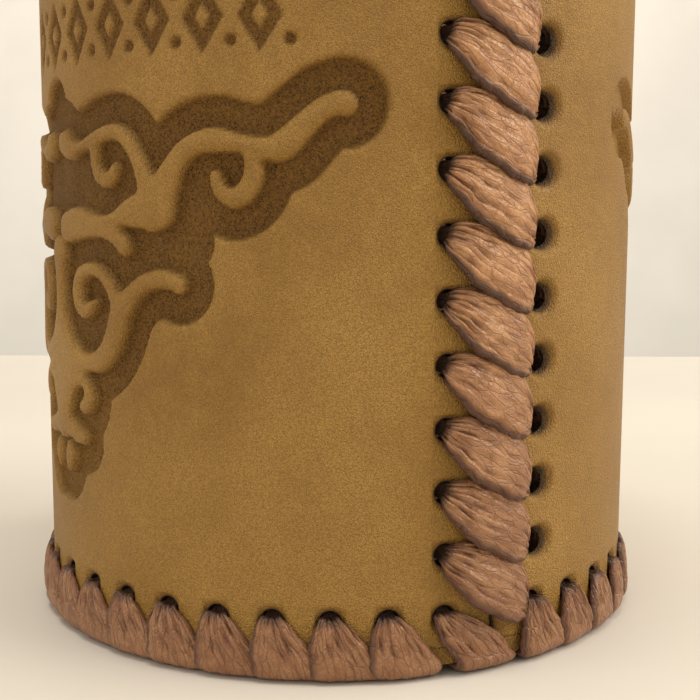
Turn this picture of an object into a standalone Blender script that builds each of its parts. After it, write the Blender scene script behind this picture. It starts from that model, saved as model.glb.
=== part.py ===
"""A round dice cup of thick leather, laced together with soft leather strips.

Two curved wall panels are butted edge to edge and whipped together down both
seams. The wall stands on a base disc, and one lace whips the disc to the wall
all the way round. Another lace binds the rim. A loose pad covers the floor.

The origin is at the middle of the base, on the surface that the cup stands on,
with +Z up. The middle of the front panel faces -Y, and the seams are at +X and -X.
"""

import math

import bmesh
import bpy
from mathutils import Matrix, Vector

MM = 0.001

# The wall and the floor
OUTER_RADIUS = 42.0 * MM
WALL_THICKNESS = 3.2 * MM
CUP_HEIGHT = 98.0 * MM
BASE_THICKNESS = 2.2 * MM
PAD_RADIUS = 33.2 * MM
PAD_THICKNESS = 2.0 * MM
FIT_GAP = 0.3 * MM

# The punched holes
HOLE_RADIUS = 1.65 * MM
HOLE_SIDES = 8
HOLE_ROW_INSET = 7.2 * MM
SEAM_ROWS = 12
PANEL_COLUMNS = 18
SEAM_COLUMN_ANGLE = math.radians(8.8)
BASE_HOLE_CIRCLE = 35.2 * MM
BASE_HOLE_RADIUS = 1.35 * MM
CUTTER_OVERRUN = 2.0 * MM

# The laces: flat strips that bunch up where they pass through a hole
LACE_THICKNESS = 1.0 * MM
THREADED_WIDTH = 1.5 * MM
THREADED_THICKNESS = 0.8 * MM
THREADED_OFFSET = 0.65 * MM
NECK_WIDTH = 2.6 * MM
PETAL_WIDTH = 6.3 * MM
PETAL_SHOULDER_WIDTH = 5.4 * MM
SEAM_STITCH_WIDTH = 5.9 * MM
SEAM_SHOULDER_WIDTH = 4.8 * MM
INNER_RUN_WIDTH = 2.4 * MM
STITCH_LEAN = 2.8 * MM
MOUTH_CLEARANCE = 0.4 * MM
EXIT_CLEARANCE = 0.15 * MM
BEND_STANDOFF = 0.85 * MM
BEND_DROP = 0.95 * MM
TAIL_LENGTH = 4.0 * MM

# Sizes that follow from the ones above
INNER_RADIUS = OUTER_RADIUS - WALL_THICKNESS
MIDDLE_RADIUS = OUTER_RADIUS - WALL_THICKNESS / 2
BASE_UNDERSIDE = LACE_THICKNESS + FIT_GAP
BASE_TOP = BASE_UNDERSIDE + BASE_THICKNESS
WALL_BOTTOM = BASE_TOP + FIT_GAP
WALL_TOP = CUP_HEIGHT - LACE_THICKNESS - FIT_GAP
BASE_ROW_HEIGHT = HOLE_ROW_INSET
RIM_ROW_HEIGHT = CUP_HEIGHT - HOLE_ROW_INSET
SEAM_PITCH = (RIM_ROW_HEIGHT - BASE_ROW_HEIGHT) / (SEAM_ROWS - 1)
HOLE_PITCH_ANGLE = (math.pi - 2 * SEAM_COLUMN_ANGLE) / (PANEL_COLUMNS - 1)
SEAM_COLUMN_ARC = SEAM_COLUMN_ANGLE * OUTER_RADIUS
LACE_STANDOFF = FIT_GAP + LACE_THICKNESS / 2
OUTSIDE_RADIUS = OUTER_RADIUS + LACE_STANDOFF
INSIDE_RADIUS = INNER_RADIUS - MOUTH_CLEARANCE - 1.2 * LACE_THICKNESS / 2

# Directions on the wall: round it, out from it and up it
ROUND = Vector((1, 0, 0))
OUT = Vector((0, 1, 0))
UP = Vector((0, 0, 1))
DIAGONAL = math.sqrt(0.5)


def leather(name, colour, roughness):
    """A plain leather finish."""
    material = bpy.data.materials.new(name)
    material.use_nodes = True
    shader = material.node_tree.nodes["Principled BSDF"]
    shader.inputs["Base Color"].default_value = (*colour, 1)
    shader.inputs["Roughness"].default_value = roughness
    shader.inputs["Metallic"].default_value = 0
    return material


def add_object(name, mesh_bm, material=None):
    """Turn a bmesh into a named object in the scene."""
    mesh = bpy.data.meshes.new(name)
    mesh_bm.to_mesh(mesh)
    mesh_bm.free()
    item = bpy.data.objects.new(name, mesh)
    bpy.context.scene.collection.objects.link(item)
    if material:
        mesh.materials.append(material)
    return item


def in_space(point):
    """Position of a point given as arc length round the wall, radius and height."""
    arc, radius, height = point
    angle = arc / OUTER_RADIUS
    return Vector((radius * math.sin(angle), -radius * math.cos(angle), height))


def strip(name, sections, material):
    """Sweep a four-sided section along a route, wrapped round the wall.

    Each section is its centre, the vector of half its width and the vector of
    half its thickness, all three along ROUND, OUT and UP.
    """
    mesh_bm = bmesh.new()
    rings = []
    for centre, width, depth in sections:
        corners = (centre - width - depth, centre + width - depth,
                   centre + width + depth, centre - width + depth)
        rings.append([mesh_bm.verts.new(in_space(corner)) for corner in corners])
    for ring, following in zip(rings, rings[1:]):
        for side in range(4):
            after = (side + 1) % 4
            mesh_bm.faces.new((ring[side], ring[after], following[after], following[side]))
    mesh_bm.faces.new(rings[0][::-1])
    mesh_bm.faces.new(rings[-1])
    bmesh.ops.recalc_face_normals(mesh_bm, faces=mesh_bm.faces)
    return add_object(name, mesh_bm, material)


def cut(item, cutter):
    """Take the cutter's solids out of an object."""
    cutter.hide_render = True
    cutter.display_type = "WIRE"
    boolean = item.modifiers.new("holes", "BOOLEAN")
    boolean.operation = "DIFFERENCE"
    boolean.solver = "EXACT"
    boolean.object = cutter


def column_arcs(panel_arc):
    """Arc positions of a panel's hole columns, left to right."""
    first = -(PANEL_COLUMNS - 1) / 2
    step = HOLE_PITCH_ANGLE * OUTER_RADIUS
    return [panel_arc + (first + column) * step for column in range(PANEL_COLUMNS)]


def seam_heights():
    """Heights of the hole rows, from the base row to the rim row."""
    return [BASE_ROW_HEIGHT + row * SEAM_PITCH for row in range(SEAM_ROWS)]


def wall_panel(name, panel_arc, material):
    """Half of the wall, with flats centred on its hole columns, and punched."""
    half_flat = HOLE_PITCH_ANGLE * OUTER_RADIUS / 2
    columns = column_arcs(panel_arc)
    half_span = math.pi / 2 * OUTER_RADIUS - FIT_GAP / 2
    edges = [panel_arc - half_span]
    edges += [arc - half_flat for arc in columns]
    edges += [columns[-1] + half_flat, panel_arc + half_span]
    half_height = UP * (WALL_TOP - WALL_BOTTOM) / 2
    half_thickness = OUT * WALL_THICKNESS / 2
    middle = (WALL_TOP + WALL_BOTTOM) / 2
    sections = [(Vector((arc, MIDDLE_RADIUS, middle)), half_height, half_thickness)
                for arc in edges]
    panel = strip(name, sections, material)
    places = [(arc, height) for arc in columns for height in (BASE_ROW_HEIGHT, RIM_ROW_HEIGHT)]
    places += [(arc, height) for arc in (columns[0], columns[-1]) for height in seam_heights()[1:-1]]
    cut(panel, wall_punch(name + "_punch", places))


def wall_punch(name, places):
    """Eight-sided bars through the wall, each with a flat side on top."""
    mesh_bm = bmesh.new()
    half_turn_of_side = math.pi / HOLE_SIDES
    for arc, height in places:
        angle = arc / OUTER_RADIUS
        place = (Matrix.Translation(in_space((arc, MIDDLE_RADIUS, height)))
                 @ Matrix.Rotation(angle, 4, "Z")
                 @ Matrix.Rotation(math.pi / 2, 4, "X")
                 @ Matrix.Rotation(half_turn_of_side, 4, "Z"))
        bmesh.ops.create_cone(mesh_bm, cap_ends=True, segments=HOLE_SIDES, radius1=HOLE_RADIUS,
                              radius2=HOLE_RADIUS, depth=WALL_THICKNESS + 2 * CUTTER_OVERRUN,
                              matrix=place)
    return add_object(name, mesh_bm)


def stitch_arcs():
    """Arc positions of every base or rim stitch, once round from the middle of the rear."""
    rear = column_arcs(math.pi * OUTER_RADIUS)
    half = PANEL_COLUMNS // 2
    full_round = math.tau * OUTER_RADIUS
    return [arc - full_round for arc in rear[half:]] + column_arcs(0) + rear[:half]


def base_disc(material):
    """The round floor, with a lace hole beside each of the wall's base holes."""
    sides = 54
    mesh_bm = bmesh.new()
    bmesh.ops.create_cone(mesh_bm, cap_ends=True, segments=sides, radius1=OUTER_RADIUS,
                          radius2=OUTER_RADIUS, depth=BASE_THICKNESS)
    disc = add_object("base_disc", mesh_bm, material)
    disc.location.z = (BASE_UNDERSIDE + BASE_TOP) / 2
    punch_bm = bmesh.new()
    for arc in stitch_arcs():
        place = in_space((arc + STITCH_LEAN, BASE_HOLE_CIRCLE, (BASE_UNDERSIDE + BASE_TOP) / 2))
        turn = Matrix.Rotation((arc + STITCH_LEAN) / OUTER_RADIUS + math.pi / HOLE_SIDES, 4, "Z")
        bmesh.ops.create_cone(punch_bm, cap_ends=True, segments=HOLE_SIDES,
                              radius1=BASE_HOLE_RADIUS, radius2=BASE_HOLE_RADIUS,
                              depth=BASE_THICKNESS + 2 * CUTTER_OVERRUN,
                              matrix=Matrix.Translation(place) @ turn)
    cut(disc, add_object("base_disc_punch", punch_bm))


def floor_pad(material):
    """The loose round pad inside, within the ring of lace holes."""
    sides = 48
    mesh_bm = bmesh.new()
    bmesh.ops.create_cone(mesh_bm, cap_ends=True, segments=sides, radius1=PAD_RADIUS,
                          radius2=PAD_RADIUS, depth=PAD_THICKNESS)
    pad = add_object("floor_pad", mesh_bm, material)
    pad.location.z = BASE_TOP + FIT_GAP + PAD_THICKNESS / 2


def base_stitch(arc, next_arc):
    """One turn of the base lace, from inside a wall hole round to the next one.

    It leaves the hole, widens into a petal down the wall, turns under the base
    disc and comes up through the disc's own hole.
    """
    threaded = BASE_ROW_HEIGHT - THREADED_OFFSET
    neck = ROUND * THREADED_WIDTH / 2
    neck_depth = THREADED_THICKNESS / 2
    depth = LACE_THICKNESS / 2
    heel = LACE_STANDOFF * DIAGONAL
    disc_arc = arc + STITCH_LEAN
    run_arc = disc_arc + (next_arc - disc_arc) * 0.55
    petal = ROUND * PETAL_WIDTH / 2
    return [
        (Vector((arc, INNER_RADIUS - MOUTH_CLEARANCE, threaded)), neck, UP * neck_depth),
        (Vector((arc, OUTER_RADIUS + EXIT_CLEARANCE, threaded)), neck, UP * neck_depth),
        (Vector((arc + 0.05 * STITCH_LEAN, OUTER_RADIUS + BEND_STANDOFF, threaded - BEND_DROP)),
         ROUND * NECK_WIDTH / 2, (OUT + UP) * DIAGONAL * depth),
        (Vector((arc + 0.2 * STITCH_LEAN, OUTSIDE_RADIUS, 0.6 * BASE_ROW_HEIGHT)),
         ROUND * PETAL_SHOULDER_WIDTH / 2, OUT * depth),
        (Vector((arc + 0.45 * STITCH_LEAN, OUTSIDE_RADIUS, 0.28 * BASE_ROW_HEIGHT)),
         petal, OUT * depth),
        (Vector((arc + 0.6 * STITCH_LEAN, OUTER_RADIUS + heel, BASE_UNDERSIDE - heel)),
         petal, (OUT - UP) * DIAGONAL * depth),
        (Vector((arc + 0.65 * STITCH_LEAN, OUTER_RADIUS - FIT_GAP, depth)), petal, -UP * depth),
        (Vector((arc + 0.95 * STITCH_LEAN, BASE_HOLE_CIRCLE + BASE_HOLE_RADIUS, depth)),
         ROUND * PETAL_SHOULDER_WIDTH / 2, -UP * depth),
        (Vector((disc_arc, BASE_HOLE_CIRCLE, BASE_UNDERSIDE)), neck, -OUT * neck_depth),
        (Vector((disc_arc, BASE_HOLE_CIRCLE, BASE_TOP + FIT_GAP)), neck, -OUT * neck_depth),
        (Vector((run_arc, (BASE_HOLE_CIRCLE + INNER_RADIUS) / 2, 0.8 * BASE_ROW_HEIGHT)),
         ROUND * INNER_RUN_WIDTH / 2, (UP - OUT) * DIAGONAL * neck_depth),
    ]


def base_lace(material):
    """The whole base lace, with a tucked tail before its first hole."""
    arcs = stitch_arcs()
    threaded = BASE_ROW_HEIGHT - THREADED_OFFSET
    tail = (ROUND * INNER_RUN_WIDTH / 2, OUT * THREADED_THICKNESS / 2)
    sections = [(Vector((arcs[0], INSIDE_RADIUS, threaded + TAIL_LENGTH)), *tail),
                (Vector((arcs[0], INSIDE_RADIUS, threaded + TAIL_LENGTH / 2)), *tail)]
    for arc, next_arc in zip(arcs, arcs[1:] + [arcs[0] + math.tau * OUTER_RADIUS]):
        sections += base_stitch(arc, next_arc)
    strip("base_lace", sections[:-1], material)


def rim_stitch(arc, next_arc):
    """One turn of the rim lace, from inside a wall hole over the rim to the next one."""
    threaded = RIM_ROW_HEIGHT + THREADED_OFFSET
    neck = ROUND * THREADED_WIDTH / 2
    neck_depth = THREADED_THICKNESS / 2
    depth = LACE_THICKNESS / 2
    crown = LACE_STANDOFF * DIAGONAL
    petal = ROUND * PETAL_WIDTH / 2
    over_arc = arc + 0.8 * STITCH_LEAN
    run_arc = (over_arc + next_arc) / 2
    return [
        (Vector((arc, INNER_RADIUS - MOUTH_CLEARANCE, threaded)), neck, -UP * neck_depth),
        (Vector((arc, OUTER_RADIUS + EXIT_CLEARANCE, threaded)), neck, -UP * neck_depth),
        (Vector((arc + 0.05 * STITCH_LEAN, OUTER_RADIUS + BEND_STANDOFF, threaded + BEND_DROP)),
         ROUND * NECK_WIDTH / 2, (OUT - UP) * DIAGONAL * depth),
        (Vector((arc + 0.2 * STITCH_LEAN, OUTSIDE_RADIUS, CUP_HEIGHT - 0.6 * HOLE_ROW_INSET)),
         ROUND * PETAL_SHOULDER_WIDTH / 2, OUT * depth),
        (Vector((arc + 0.45 * STITCH_LEAN, OUTSIDE_RADIUS, CUP_HEIGHT - 0.28 * HOLE_ROW_INSET)),
         petal, OUT * depth),
        (Vector((arc + 0.6 * STITCH_LEAN, OUTER_RADIUS + crown, WALL_TOP + crown)),
         petal, (OUT + UP) * DIAGONAL * depth),
        (Vector((arc + 0.7 * STITCH_LEAN, MIDDLE_RADIUS, WALL_TOP + LACE_STANDOFF)),
         petal, UP * depth),
        (Vector((over_arc, INSIDE_RADIUS + LACE_STANDOFF / 2, WALL_TOP + crown)),
         petal, (UP - OUT) * DIAGONAL * depth),
        (Vector((run_arc, INSIDE_RADIUS, CUP_HEIGHT - 0.55 * HOLE_ROW_INSET)),
         ROUND * INNER_RUN_WIDTH / 2, -OUT * depth),
    ]


def rim_lace(material):
    """The whole rim lace, with a tucked tail before its first hole."""
    arcs = stitch_arcs()
    threaded = RIM_ROW_HEIGHT + THREADED_OFFSET
    tail = (ROUND * INNER_RUN_WIDTH / 2, OUT * THREADED_THICKNESS / 2)
    sections = [(Vector((arcs[0], INSIDE_RADIUS, threaded - TAIL_LENGTH)), *tail),
                (Vector((arcs[0], INSIDE_RADIUS, threaded - TAIL_LENGTH / 2)), *tail)]
    for arc, next_arc in zip(arcs, arcs[1:] + [arcs[0] + math.tau * OUTER_RADIUS]):
        sections += rim_stitch(arc, next_arc)
    strip("rim_lace", sections, material)


def seam_stitch(seam_arc, top, bottom, side):
    """One stitch across a seam, from a left hole down to the right hole a row lower.

    side is 1 or -1: the strip comes round the other way up after each turn.
    """
    start = Vector((seam_arc - SEAM_COLUMN_ARC, 0, top - THREADED_OFFSET))
    end = Vector((seam_arc + SEAM_COLUMN_ARC, 0, bottom + THREADED_OFFSET))
    along = (end - start).normalized()
    across = Vector((-along.z, 0, along.x))
    turning = (ROUND + across).normalized()
    neck = ROUND * side * THREADED_WIDTH / 2
    neck_depth = UP * side * THREADED_THICKNESS / 2
    depth = side * LACE_THICKNESS / 2
    shoulder = across * side * SEAM_SHOULDER_WIDTH / 2
    bend = turning * side * NECK_WIDTH / 2
    mouth = OUT * (INNER_RADIUS - MOUTH_CLEARANCE)
    exit_ = OUT * (OUTER_RADIUS + EXIT_CLEARANCE)
    standoff = OUT * (OUTER_RADIUS + BEND_STANDOFF)
    outside = OUT * OUTSIDE_RADIUS
    return [
        (start + mouth, neck, neck_depth),
        (start + exit_, neck, neck_depth),
        (start + along * 1.4 * BEND_DROP + standoff, bend, (OUT + UP) * DIAGONAL * depth),
        (start.lerp(end, 0.28) + outside, shoulder, OUT * depth),
        (start.lerp(end, 0.5) + outside, across * side * SEAM_STITCH_WIDTH / 2, OUT * depth),
        (start.lerp(end, 0.72) + outside, shoulder, OUT * depth),
        (end - along * 1.4 * BEND_DROP + standoff, bend, (OUT - UP) * DIAGONAL * depth),
        (end + exit_, neck, -neck_depth),
        (end + mouth, neck, -neck_depth),
    ]


def seam_crossing(seam_arc, height, side):
    """The level run inside the cup, from a right hole back to the left hole beside it."""
    width = -OUT * side * THREADED_THICKNESS / 2
    depth = -UP * side * INNER_RUN_WIDTH / 2
    reach = 0.5 * SEAM_COLUMN_ARC
    drop = 0.5 * THREADED_OFFSET
    return [(Vector((seam_arc + reach, INSIDE_RADIUS, height + drop)), width, depth),
            (Vector((seam_arc - reach, INSIDE_RADIUS, height - drop)), width, depth)]


def seam_lace(name, seam_arc, material):
    """One seam's lace, worked from the rim row down to the base row."""
    heights = seam_heights()
    left = seam_arc - SEAM_COLUMN_ARC
    right = seam_arc + SEAM_COLUMN_ARC
    tail_width = ROUND * INNER_RUN_WIDTH / 2
    tail_depth = -OUT * THREADED_THICKNESS / 2
    first = heights[-1] - THREADED_OFFSET
    sections = [(Vector((left, INSIDE_RADIUS, first - TAIL_LENGTH)), tail_width, tail_depth),
                (Vector((left, INSIDE_RADIUS, first - TAIL_LENGTH / 2)), tail_width, tail_depth)]
    side = 1
    for row in range(SEAM_ROWS - 1, 0, -1):
        sections += seam_stitch(seam_arc, heights[row], heights[row - 1], side)
        if row > 1:
            sections += seam_crossing(seam_arc, heights[row - 1], side)
            side = -side
    last = heights[0] + THREADED_OFFSET
    sections += [
        (Vector((right, INSIDE_RADIUS, last + TAIL_LENGTH / 2)), tail_width * side, tail_depth * side),
        (Vector((right, INSIDE_RADIUS, last + TAIL_LENGTH)), tail_width * side, tail_depth * side)]
    strip(name, sections, material)


def build():
    """Model the whole cup."""
    for item in list(bpy.data.objects):
        bpy.data.objects.remove(item)
    wall_leather = leather("wall_leather", (0.43, 0.25, 0.075), 0.5)
    base_leather = leather("base_leather", (0.36, 0.2, 0.07), 0.6)
    lace_leather = leather("lace_leather", (0.5, 0.23, 0.12), 0.55)
    pad_suede = leather("pad_suede", (0.13, 0.06, 0.03), 0.9)
    half_round = math.pi * OUTER_RADIUS
    wall_panel("wall_panel_front", 0, wall_leather)
    wall_panel("wall_panel_rear", half_round, wall_leather)
    base_disc(base_leather)
    floor_pad(pad_suede)
    seam_lace("seam_lace_right", half_round / 2, lace_leather)
    seam_lace("seam_lace_left", half_round * 3 / 2, lace_leather)
    base_lace(lace_leather)
    rim_lace(lace_leather)


build()
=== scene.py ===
"""The looks of the laced leather dice cup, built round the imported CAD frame."""

import math

import bmesh
import bpy
import numpy as np
from mathutils import Matrix, Vector


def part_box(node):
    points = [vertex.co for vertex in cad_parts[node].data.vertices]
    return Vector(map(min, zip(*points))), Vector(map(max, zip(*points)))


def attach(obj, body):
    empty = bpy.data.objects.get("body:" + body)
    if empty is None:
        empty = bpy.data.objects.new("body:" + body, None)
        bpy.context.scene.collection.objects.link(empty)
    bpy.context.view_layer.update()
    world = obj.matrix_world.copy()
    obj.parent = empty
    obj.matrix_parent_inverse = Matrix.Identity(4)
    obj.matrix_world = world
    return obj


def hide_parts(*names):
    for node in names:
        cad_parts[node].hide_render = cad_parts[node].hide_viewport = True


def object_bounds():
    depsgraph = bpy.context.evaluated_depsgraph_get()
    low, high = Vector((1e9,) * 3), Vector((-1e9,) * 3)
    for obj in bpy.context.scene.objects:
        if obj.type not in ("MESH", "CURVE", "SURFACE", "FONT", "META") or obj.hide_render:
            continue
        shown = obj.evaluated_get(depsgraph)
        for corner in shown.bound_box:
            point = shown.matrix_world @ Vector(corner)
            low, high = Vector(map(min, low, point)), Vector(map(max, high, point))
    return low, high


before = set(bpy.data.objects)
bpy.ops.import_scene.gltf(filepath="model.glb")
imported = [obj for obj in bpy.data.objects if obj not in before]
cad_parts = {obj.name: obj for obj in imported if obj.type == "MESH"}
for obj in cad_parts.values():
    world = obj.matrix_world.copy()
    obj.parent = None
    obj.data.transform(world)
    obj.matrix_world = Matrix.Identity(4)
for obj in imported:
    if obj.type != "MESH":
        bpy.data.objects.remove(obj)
CAD_LOW, CAD_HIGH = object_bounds()
MM = 0.001
SEED = 41

# Sizes read from the frame, in millimetres
PANEL_LOW, PANEL_HIGH = (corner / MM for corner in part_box("wall_panel_front"))
DISC_LOW, DISC_HIGH = (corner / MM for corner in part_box("base_disc"))
PAD_LOW, PAD_HIGH = (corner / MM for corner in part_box("floor_pad"))
CUP_HEIGHT = CAD_HIGH.z / MM
OUTER_RADIUS = -PANEL_LOW.y
WALL_TOP = PANEL_HIGH.z

# The wall and its punched holes as the CAD has them, in millimetres
WALL_THICKNESS = 3.2
HOLE_ROW_INSET = 7.2
SEAM_ROWS = 12
PANEL_COLUMNS = 18
SEAM_COLUMN_ANGLE = math.radians(8.8)
BASE_HOLE_CIRCLE = 35.2
STITCH_LEAN = 2.8
HOLE_RADIUS = 1.4

# The gap left between pieces that touch
BUTT_GAP = 0.06

INNER_RADIUS = OUTER_RADIUS - WALL_THICKNESS
HALF_ROUND = math.pi * OUTER_RADIUS
SEAM_ARC = SEAM_COLUMN_ANGLE * OUTER_RADIUS
HOLE_PITCH = (HALF_ROUND - 2 * SEAM_ARC) / (PANEL_COLUMNS - 1)
BASE_ROW = HOLE_ROW_INSET
RIM_ROW = CUP_HEIGHT - HOLE_ROW_INSET
SEAM_PITCH = (RIM_ROW - BASE_ROW) / (SEAM_ROWS - 1)
WALL_BOTTOM = DISC_HIGH.z + BUTT_GAP
COLUMN_REACH = HOLE_PITCH * (PANEL_COLUMNS - 1) / 2
PANEL_REACH = (HALF_ROUND - BUTT_GAP) / 2


# ---- small helpers

def smoothstep(low, high, value):
    """0 below low, 1 above high, and a smooth rise between."""
    share = np.clip((value - low) / (high - low), 0, 1)
    return share * share * (3 - 2 * share)


def hermite(share, start, end, leave, arrive):
    """The cubic curve between two rows of numbers, from its slopes at them."""
    return ((2 * share**3 - 3 * share**2 + 1) * start + (share**3 - 2 * share**2 + share) * leave
            + (3 * share**2 - 2 * share**3) * end + (share**3 - share**2) * arrive)


def curve_through(points, steps):
    """A smooth curve through rows of numbers, with the same count of steps between each two."""
    points = np.asarray(points, float)
    before = np.vstack([points[:1], points[:-1]])
    after = np.vstack([points[1:], points[-1:]])
    slopes = (after - before) / 2
    share = np.arange(steps)[:, None] / steps
    pieces = [hermite(share, *points[i:i + 2], *slopes[i:i + 2]) for i in range(len(points) - 1)]
    return np.vstack(pieces + [points[-1:]])


def in_space(arc, radius, height):
    """Positions in metres of points given as arc at the wall's face, radius and height in mm."""
    angle = np.asarray(arc) / OUTER_RADIUS
    return np.stack([radius * np.sin(angle), -radius * np.cos(angle),
                     np.broadcast_to(height, np.shape(angle))], -1) * MM


def column_arc(half, column):
    """The arc of a column of holes, counted from the left on the front (0) or another half round."""
    return HALF_ROUND * half + HOLE_PITCH * (column - (PANEL_COLUMNS - 1) / 2)


def linked(name, data):
    """An object in the scene with a mesh, a light or a camera."""
    item = bpy.data.objects.new(name, data)
    bpy.context.scene.collection.objects.link(item)
    return item


def make_mesh(name, points, faces, materials, face_slots=None, values=None):
    """A smooth-shaded object from points and faces, with named float values on its points."""
    mesh = bpy.data.meshes.new(name)
    mesh.from_pydata(points.tolist(), [], faces)
    mesh.update()
    for material in materials:
        mesh.materials.append(material)
    if face_slots is not None:
        mesh.polygons.foreach_set("material_index", np.asarray(face_slots, np.int32))
    for key, numbers in (values or {}).items():
        attribute = mesh.attributes.new(key, "FLOAT", "POINT")
        attribute.data.foreach_set("value", np.asarray(numbers, np.float32))
    mesh.shade_smooth()
    return linked(name, mesh)


def face_outward(item):
    """Turn every face so that the closed mesh's faces point out."""
    mesh_bm = bmesh.new()
    mesh_bm.from_mesh(item.data)
    bmesh.ops.recalc_face_normals(mesh_bm, faces=mesh_bm.faces)
    mesh_bm.to_mesh(item.data)
    mesh_bm.free()
    item.data.shade_smooth()


def tube_faces(rings, sides):
    """Quads between closed rings of points that follow one another."""
    start = np.arange(rings - 1)[:, None] * sides
    side = np.arange(sides)[None, :]
    following = (side + 1) % sides
    quads = [start + side, start + following, start + sides + following, start + sides + side]
    return np.stack(quads, -1).reshape(-1, 4).tolist()


# ---- the embossed ornament

# The axis of the ornament, from the front panel's middle, the rear ornament's further shift,
# and how much taller the ornament is built than its scrolls are listed
ORNAMENT_AXIS = 2.5
REAR_SHIFT = 3.0
ORNAMENT_STRETCH = 1.033

# Raised scrolls of the right half: (arc from the axis, height, half width), in millimetres
SCROLLS = [
    # crest: a wave from its rounded head up to the junction, and the hook under it
    [(2.7, 61.9, 1.7), (4.7, 61.0, 1.4), (7.1, 61.3, 0.75), (9.7, 61.9, 0.95), (12.5, 62.7, 1.0),
     (14.8, 62.8, 1.05), (16.9, 61.7, 1.15), (18.5, 59.6, 1.2), (19.5, 57.6, 1.4), (20.3, 55.5, 2.0)],
    [(10.5, 61.2, 0.95), (10.8, 59.2, 0.95), (11.7, 57.7, 1.1), (13.1, 57.3, 1.05), (14.3, 58.0, 0.95),
     (14.6, 58.7, 0.75)],
    # wing: from the junction out to the rounded tip, and the hook under it
    [(20.5, 53.9, 2.5), (21.9, 55.2, 2.3), (23.9, 58.8, 1.55), (26.2, 60.9, 1.35), (29.3, 61.6, 1.4),
     (32.5, 61.1, 1.1), (35.7, 60.6, 1.35), (37.7, 61.0, 1.75), (39.8, 62.9, 1.5), (42.1, 64.8, 1.35),
     (44.1, 65.5, 1.4), (44.8, 65.4, 1.4)],
    [(33.8, 60.0, 1.1), (34.2, 58.2, 1.3), (33.4, 56.2, 1.35), (31.8, 55.2, 1.25), (30.2, 55.9, 1.1),
     (29.5, 57.5, 0.95)],
    # shoulder: a lobe beside the axis with its drooping tip, joined to the junction
    [(3.0, 51.6, 2.1), (5.7, 52.1, 2.1), (8.5, 52.0, 1.75), (11.3, 51.7, 1.35), (13.5, 51.1, 1.25),
     (15.3, 50.2, 1.3), (15.9, 49.6, 1.35)],
    [(11.5, 52.0, 1.1), (14.5, 52.8, 1.05), (17.5, 53.6, 1.9), (20.5, 53.9, 2.5), (21.7, 54.0, 2.4)],
    # stem down the axis
    [(0.0, 48.3, 2.4), (0.0, 46.5, 1.8), (0.0, 43.5, 1.5), (0.0, 40.5, 2.0), (0.0, 36.0, 4.0),
     (0.0, 33.0, 4.4), (0.0, 29.5, 2.9), (0.0, 26.8, 2.4)],
    # great scroll: from the stem round to the inner curl
    [(1.5, 36.9, 2.2), (5.5, 35.2, 1.7), (8.0, 35.2, 1.25), (10.6, 35.6, 1.5), (13.0, 37.5, 1.75),
     (14.4, 40.1, 1.85), (14.8, 42.2, 1.6), (13.9, 43.9, 1.2), (12.6, 45.3, 1.0), (10.8, 46.4, 0.95),
     (8.6, 46.6, 1.0), (6.6, 45.8, 1.2), (5.7, 44.0, 1.35), (6.1, 42.3, 1.3), (7.4, 41.5, 1.15),
     (8.8, 42.0, 0.9), (10.0, 42.6, 0.6)],
    # branch off the great scroll
    [(14.6, 40.6, 1.7), (16.2, 43.0, 1.5), (18.5, 45.0, 1.25), (20.6, 45.8, 1.15), (22.6, 45.9, 1.15),
     (24.4, 45.4, 1.2)],
    # small hook, foot and bud
    [(3.5, 33.4, 2.2), (6.3, 33.0, 1.1), (7.7, 32.1, 1.1), (8.1, 30.8, 1.25), (7.4, 29.8, 1.2),
     (6.6, 29.5, 1.05)],
    [(1.0, 26.8, 1.8), (3.2, 26.2, 1.4), (5.0, 25.6, 1.25), (6.6, 25.6, 1.05)],
    [(2.0, 24.0, 0.75), (2.1, 22.6, 1.45), (1.8, 21.0, 0.7)],
]
SCROLL_FILLET = 0.5
SCROLL_STEPS = 4

# The recess round the scrolls, which also takes in a crown on the axis and a point under the wing
CROWN_TOP = 66.3
CROWN_FOOT = 56.0
BORDER_FILL = (25.7, 50.2)
BORDER_WIDTH = 3.6
BORDER_LIP = 0.1
SCROLL_LIP = -0.3
EMBOSS_DEPTH = 1.2
EMBOSS_SLOPE = 0.5
SCROLL_SWELL = 0.45
SWELL_REACH = 1.8

# A distance to start from, beyond any on the cup
FAR_AWAY = 1e3

# The stamped band above it: hollow lozenges with a pair of dots between each two
LOZENGE_COUNT = 11
LOZENGE_PITCH = 7.0
LOZENGE_HALF_WIDTH = 2.7
LOZENGE_HALF_HEIGHT = 4.2
LOZENGE_STROKE = 1.5
DOT_RADIUS = 0.75
DOT_RISE = 2.7
BAND_MIDDLE = 77.4
STAMP_DEPTH = 0.5
STAMP_LIP = 0.25
STAMP_FOOT = -0.4


def smooth_union(first, second, fillet):
    """Distance to two shapes joined with a fillet."""
    share = np.clip(0.5 + 0.5 * (second - first) / fillet, 0, 1)
    return second * (1 - share) + first * share - fillet * share * (1 - share)


def stroke_distance(across, height, stroke):
    """Distance to a stroke given as rows of place and half width, negative inside it."""
    path = curve_through(stroke, SCROLL_STEPS)
    nearest = np.full(across.shape, FAR_AWAY)
    for (x0, z0, w0), (x1, z1, w1) in zip(path, path[1:]):
        run, rise = x1 - x0, z1 - z0
        share = np.clip(((across - x0) * run + (height - z0) * rise) / (run * run + rise * rise), 0, 1)
        gap = np.hypot(across - x0 - share * run, height - z0 - share * rise) - (w0 + share * (w1 - w0))
        nearest = np.minimum(nearest, gap)
    return nearest


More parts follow.
